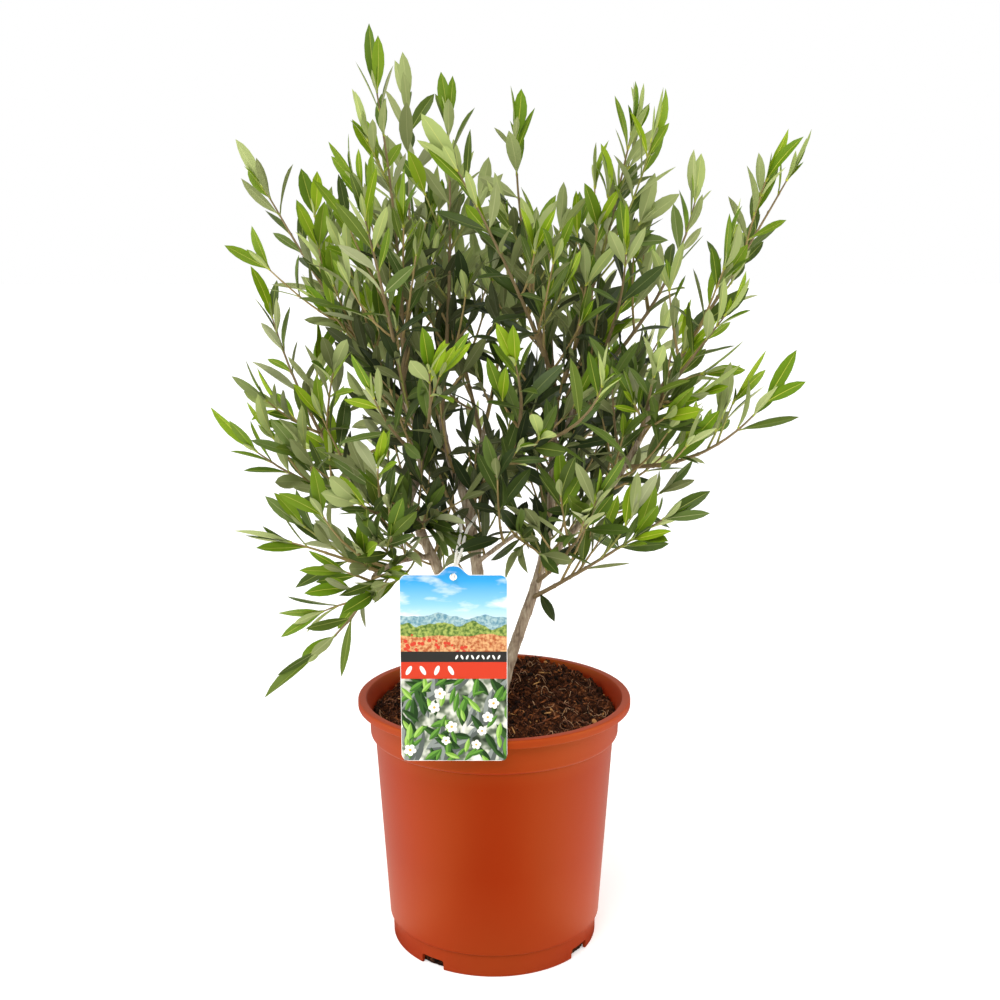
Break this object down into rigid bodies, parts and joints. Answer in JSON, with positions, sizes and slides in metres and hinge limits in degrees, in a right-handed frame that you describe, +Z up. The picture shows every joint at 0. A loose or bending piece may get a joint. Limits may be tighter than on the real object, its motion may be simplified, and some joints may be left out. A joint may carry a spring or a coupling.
{
  "type": "potted olive tree",
  "caption": "Young bushy olive tree with slender grey-brown stems and narrow grey-green leaves, growing in a round orange-brown plastic nursery pot with a hang label.",
  "frame": {"origin": "middle of the pot's underside, on the level that the pot stands on", "axes": "+Z up along the pot's axis; the hang label is on the -Y side, and +X is to the right of someone who looks at the label"},
  "size_m": [0.4568, 0.3285, 0.684],
  "materials": {
    "pot_plastic": "orange-brown moulded plastic, satin",
    "potting_soil": "dark moist peat with fibres",
    "label_plastic": "printed card, satin gloss",
    "white_string": "thin twisted string",
    "stem_bark": "smooth grey-brown bark",
    "bough_bark": "smooth tan-brown bark",
    "olive_foliage": "leathery grey-green leaves"
  },
  "bodies": {
    "root": {"bough_back_left": "bough_bark", "bough_back_middle": "bough_bark", "bough_back_right": "bough_bark", "bough_left": "bough_bark", "bough_left_low": "bough_bark", "bough_left_rising": "bough_bark", "bough_low": "bough_bark", "bough_middle_left": "bough_bark", "bough_middle_right": "bough_bark", "bough_right": "bough_bark", "bough_right_far": "bough_bark", "bough_right_top": "bough_bark", "bough_right_upper": "bough_bark", "bough_top_left": "bough_bark", "foliage_back_left": "olive_foliage", "foliage_back_left_low": "olive_foliage", "foliage_back_low": "olive_foliage", "foliage_back_low_right": "olive_foliage", "foliage_back_middle": "olive_foliage", "foliage_back_right": "olive_foliage", "foliage_back_top": "olive_foliage", "foliage_back_top_right": "olive_foliage", "foliage_front_far_left": "olive_foliage", "foliage_front_left": "olive_foliage", "foliage_front_low": "olive_foliage", "foliage_front_low_left": "olive_foliage", "foliage_front_middle": "olive_foliage", "foliage_front_right": "olive_foliage", "foliage_inner_back": "olive_foliage", "foliage_inner_left": "olive_foliage", "foliage_inner_low_left": "olive_foliage", "foliage_left_front": "olive_foliage", "foliage_left_hanging": "olive_foliage", "foliage_left_low": "olive_foliage", "foliage_left_middle": "olive_foliage", "foliage_left_outer": "olive_foliage", "foliage_left_top": "olive_foliage", "foliage_low_middle": "olive_foliage", "foliage_right_far": "olive_foliage", "foliage_right_front": "olive_foliage", "foliage_right_low": "olive_foliage", "foliage_right_middle": "olive_foliage", "foliage_right_outer": "olive_foliage", "foliage_right_sweep": "olive_foliage", "foliage_right_upper": "olive_foliage", "foliage_top_diagonal": "olive_foliage", "foliage_top_gap": "olive_foliage", "foliage_top_left": "olive_foliage", "foliage_top_left_back": "olive_foliage", "foliage_top_middle": "olive_foliage", "foliage_top_middle_left": "olive_foliage", "foliage_top_right": "olive_foliage", "label": "label_plastic", "label_string": "white_string", "pot": "pot_plastic", "soil": "potting_soil", "stem_left": "stem_bark", "stem_middle": "stem_bark", "stem_right": "stem_bark"}
  },
  "joints": []
}
